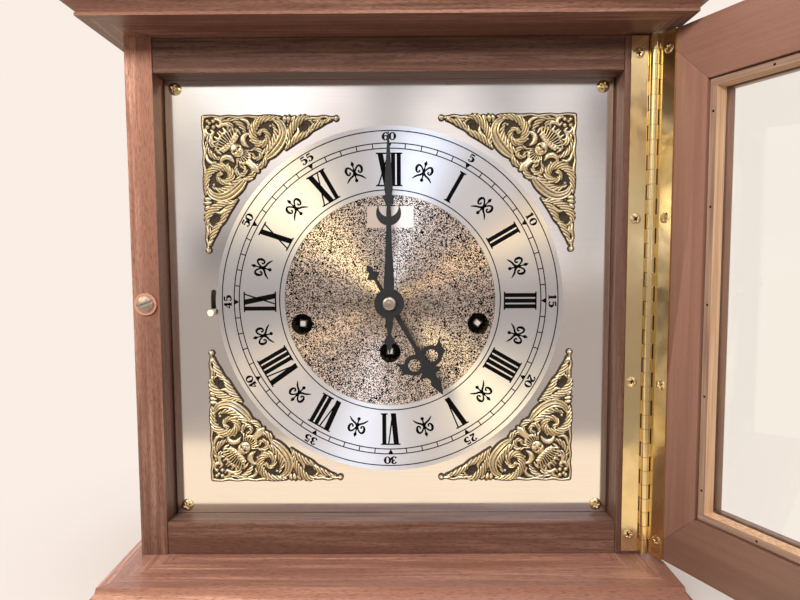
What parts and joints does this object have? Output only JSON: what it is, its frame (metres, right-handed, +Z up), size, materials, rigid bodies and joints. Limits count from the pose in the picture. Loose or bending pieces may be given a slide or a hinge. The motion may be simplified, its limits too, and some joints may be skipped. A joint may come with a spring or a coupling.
{
  "type": "table clock",
  "caption": "Walnut table clock with a glazed front door on a piano hinge, square silvered dial, cast corner ornaments, pierced hands and a wound chiming movement.",
  "frame": {"origin": "centre of the plinth's underside, on the surface that the clock stands on", "axes": "+Z up, the dial faces -Y, +X to the right of someone looking at the dial"},
  "size_m": [0.3786, 0.3649, 0.297],
  "materials": {
    "walnut": "satin lacquered walnut",
    "raw_wood": "unfinished softwood",
    "door_glass": "clear float glass",
    "polished_brass": "polished, lacquered",
    "cast_brass": "cast, antiqued in the hollows",
    "silvered_plate": "satin, bright",
    "brushed_ring": "brushed",
    "speckled_centre": "black speckle on bright metal",
    "hand_black": "blackened, satin",
    "steel": "turned",
    "copper": "copper coloured",
    "lever_finish": "bright, pale tip",
    "movement_brass": "satin",
    "rod_bronze": "drawn",
    "iron": "cast, black"
  },
  "bodies": {
    "case": {"plinth_board": "walnut", "top_board": "walnut", "side_panel_left": "walnut", "side_panel_right": "walnut", "front_rail_top": "walnut", "front_rail_bottom": "walnut", "dial_battens": "raw_wood", "back_door_pins": "polished_brass", "base_board": "walnut", "cornice_board": "walnut", "hinge_leaf_case": "polished_brass", "hinge_pin": "polished_brass", "strike_washer": "copper", "strike_screw": "steel", "dial_plate": "silvered_plate", "chapter_ring": "brushed_ring", "dial_centre": "speckled_centre", "spandrels": "cast_brass", "dial_screws": "polished_brass", "winding_clicks": "steel", "front_plate": "movement_brass", "back_plate": "movement_brass", "movement_pillars": "movement_brass", "chime_rods": "rod_bronze", "rod_block": "iron"},
    "front_door": {"door_stile_hinge": "walnut", "door_stile_latch": "walnut", "door_rail_top": "walnut", "door_rail_bottom": "walnut", "door_glass": "door_glass", "glass_beads": "raw_wood", "hinge_leaf_door": "polished_brass", "door_magnet": "steel"},
    "back_door": {"back_door": "walnut"},
    "silent_lever": {"silent_lever": "lever_finish"},
    "minute_hand": {"cannon_pinion": "steel", "minute_hand": "hand_black", "hand_nut": "steel"},
    "minute_wheel": {"minute_wheel": "movement_brass"},
    "hour_hand": {"hour_wheel": "movement_brass", "hour_hand": "hand_black"},
    "time_barrel": {"time_barrel": "movement_brass"},
    "second_wheel": {"second_wheel": "movement_brass"},
    "centre_wheel": {"centre_wheel": "movement_brass"},
    "third_wheel": {"third_wheel": "movement_brass"},
    "fourth_wheel": {"fourth_wheel": "movement_brass"},
    "escape_wheel": {"escape_wheel": "movement_brass"},
    "pallet_lever": {"pallet_lever": "steel"},
    "balance_wheel": {"balance_wheel": "movement_brass"},
    "strike_barrel": {"strike_barrel": "movement_brass"},
    "strike_wheel": {"strike_wheel": "movement_brass"},
    "chime_barrel": {"chime_barrel": "movement_brass"},
    "chime_drum": {"chime_drum": "movement_brass"},
    "time_winding_arbor": {"time_winding_arbor": "steel"},
    "strike_winding_arbor": {"strike_winding_arbor": "steel"},
    "chime_winding_arbor": {"chime_winding_arbor": "steel"},
    "hammer_1": {"hammer_1": "movement_brass"},
    "hammer_2": {"hammer_2": "movement_brass"},
    "hammer_3": {"hammer_3": "movement_brass"},
    "hammer_4": {"hammer_4": "movement_brass"}
  },
  "joints": [
    {"name": "front_door_swing", "type": "hinge", "parent": "case", "child": "front_door", "pos_m": [0.12175, -0.05695, 0.034], "axis": [0, 0, 1], "range_deg": [-115.5, 64.5]},
    {"name": "back_door_swing", "type": "hinge", "parent": "case", "child": "back_door", "pos_m": [0.10405, 0.08115, 0.032], "axis": [0, 0, -1], "range_deg": [0, 100]},
    {"name": "silent_lever_swing", "type": "hinge", "parent": "case", "child": "silent_lever", "pos_m": [-0.0519, -0.04285, 0.155], "axis": [0, 1, 0], "range_deg": [0, 16]},
    {"name": "minute_hand_turn", "type": "hinge", "parent": "case", "child": "minute_hand", "pos_m": [0, -0.04285, 0.155], "axis": [0, 1, 0], "continuous": true},
    {"name": "minute_wheel_turn", "type": "hinge", "parent": "case", "child": "minute_wheel", "pos_m": [0.01039, -0.04285, 0.161], "axis": [0, 1, 0], "continuous": true},
    {"name": "hour_hand_turn", "type": "hinge", "parent": "case", "child": "hour_hand", "pos_m": [0, -0.04285, 0.155], "axis": [0, 1, 0], "continuous": true},
    {"name": "time_barrel_turn", "type": "hinge", "parent": "case", "child": "time_barrel", "pos_m": [0, -0.04285, 0.1297], "axis": [0, 1, 0], "continuous": true},
    {"name": "second_wheel_turn", "type": "hinge", "parent": "case", "child": "second_wheel", "pos_m": [0.01493, -0.04285, 0.15], "axis": [0, 1, 0], "continuous": true},
    {"name": "centre_wheel_turn", "type": "hinge", "parent": "case", "child": "centre_wheel", "pos_m": [0, -0.04285, 0.155], "axis": [0, 1, 0], "continuous": true},
    {"name": "third_wheel_turn", "type": "hinge", "parent": "case", "child": "third_wheel", "pos_m": [-0.00826, -0.04285, 0.1668], "axis": [0, 1, 0], "continuous": true},
    {"name": "fourth_wheel_turn", "type": "hinge", "parent": "case", "child": "fourth_wheel", "pos_m": [-0.00309, -0.04285, 0.17789], "axis": [0, 1, 0], "continuous": true},
    {"name": "escape_wheel_turn", "type": "hinge", "parent": "case", "child": "escape_wheel", "pos_m": [-0.00849, -0.04285, 0.18724], "axis": [0, 1, 0], "continuous": true},
    {"name": "pallet_rock", "type": "hinge", "parent": "case", "child": "pallet_lever", "pos_m": [-0.00374, -0.04285, 0.19547], "axis": [0, 1, 0], "range_deg": [-5, 5]},
    {"name": "balance_swing", "type": "hinge", "parent": "case", "child": "balance_wheel", "pos_m": [0.00709, -0.04285, 0.20172], "axis": [0, 1, 0], "range_deg": [-150, 150], "stiffness_Nm_per_rad": 0.000012},
    {"name": "strike_barrel_turn", "type": "hinge", "parent": "case", "child": "strike_barrel", "pos_m": [-0.0435, -0.04285, 0.1438], "axis": [0, 1, 0], "continuous": true},
    {"name": "strike_wheel_turn", "type": "hinge", "parent": "case", "child": "strike_wheel", "pos_m": [-0.0309, -0.04285, 0.16562], "axis": [0, 1, 0], "continuous": true},
    {"name": "chime_barrel_turn", "type": "hinge", "parent": "case", "child": "chime_barrel", "pos_m": [0.0435, -0.04285, 0.1438], "axis": [0, 1, 0], "continuous": true},
    {"name": "chime_drum_turn", "type": "hinge", "parent": "case", "child": "chime_drum", "pos_m": [0.04788, -0.04285, 0.11898], "axis": [0, 1, 0], "continuous": true},
    {"name": "time_winding", "type": "hinge", "parent": "case", "child": "time_winding_arbor", "pos_m": [0, -0.04285, 0.1297], "axis": [0, 1, 0], "continuous": true},
    {"name": "strike_winding", "type": "hinge", "parent": "case", "child": "strike_winding_arbor", "pos_m": [-0.0435, -0.04285, 0.1438], "axis": [0, 1, 0], "continuous": true},
    {"name": "chime_winding", "type": "hinge", "parent": "case", "child": "chime_winding_arbor", "pos_m": [0.0435, -0.04285, 0.1438], "axis": [0, 1, 0], "continuous": true},
    {"name": "hammer_1_lift", "type": "hinge", "parent": "case", "child": "hammer_1", "pos_m": [0.02, -0.04285, 0.115], "axis": [0, 1, 0], "range_deg": [0, 22]},
    {"name": "hammer_2_lift", "type": "hinge", "parent": "case", "child": "hammer_2", "pos_m": [0.02, -0.04285, 0.115], "axis": [0, 1, 0], "range_deg": [0, 22]},
    {"name": "hammer_3_lift", "type": "hinge", "parent": "case", "child": "hammer_3", "pos_m": [0.02, -0.04285, 0.115], "axis": [0, 1, 0], "range_deg": [0, 22]},
    {"name": "hammer_4_lift", "type": "hinge", "parent": "case", "child": "hammer_4", "pos_m": [0.02, -0.04285, 0.115], "axis": [0, 1, 0], "range_deg": [0, 22]}
  ],
  "couplings": [
    {"joint": "minute_wheel_turn", "follows": "minute_hand_turn", "ratio": -0.33333},
    {"joint": "hour_hand_turn", "follows": "minute_hand_turn", "ratio": 0.083333},
    {"joint": "third_wheel_turn", "follows": "fourth_wheel_turn", "ratio": -0.13333},
    {"joint": "centre_wheel_turn", "follows": "fourth_wheel_turn", "ratio": 0.016667},
    {"joint": "second_wheel_turn", "follows": "fourth_wheel_turn", "ratio": -0.0027778},
    {"joint": "time_barrel_turn", "follows": "fourth_wheel_turn", "ratio": 0.00046296},
    {"joint": "escape_wheel_turn", "follows": "fourth_wheel_turn", "ratio": -5},
    {"joint": "strike_wheel_turn", "follows": "strike_barrel_turn", "ratio": -6},
    {"joint": "chime_drum_turn", "follows": "chime_barrel_turn", "ratio": -6}
  ]
}
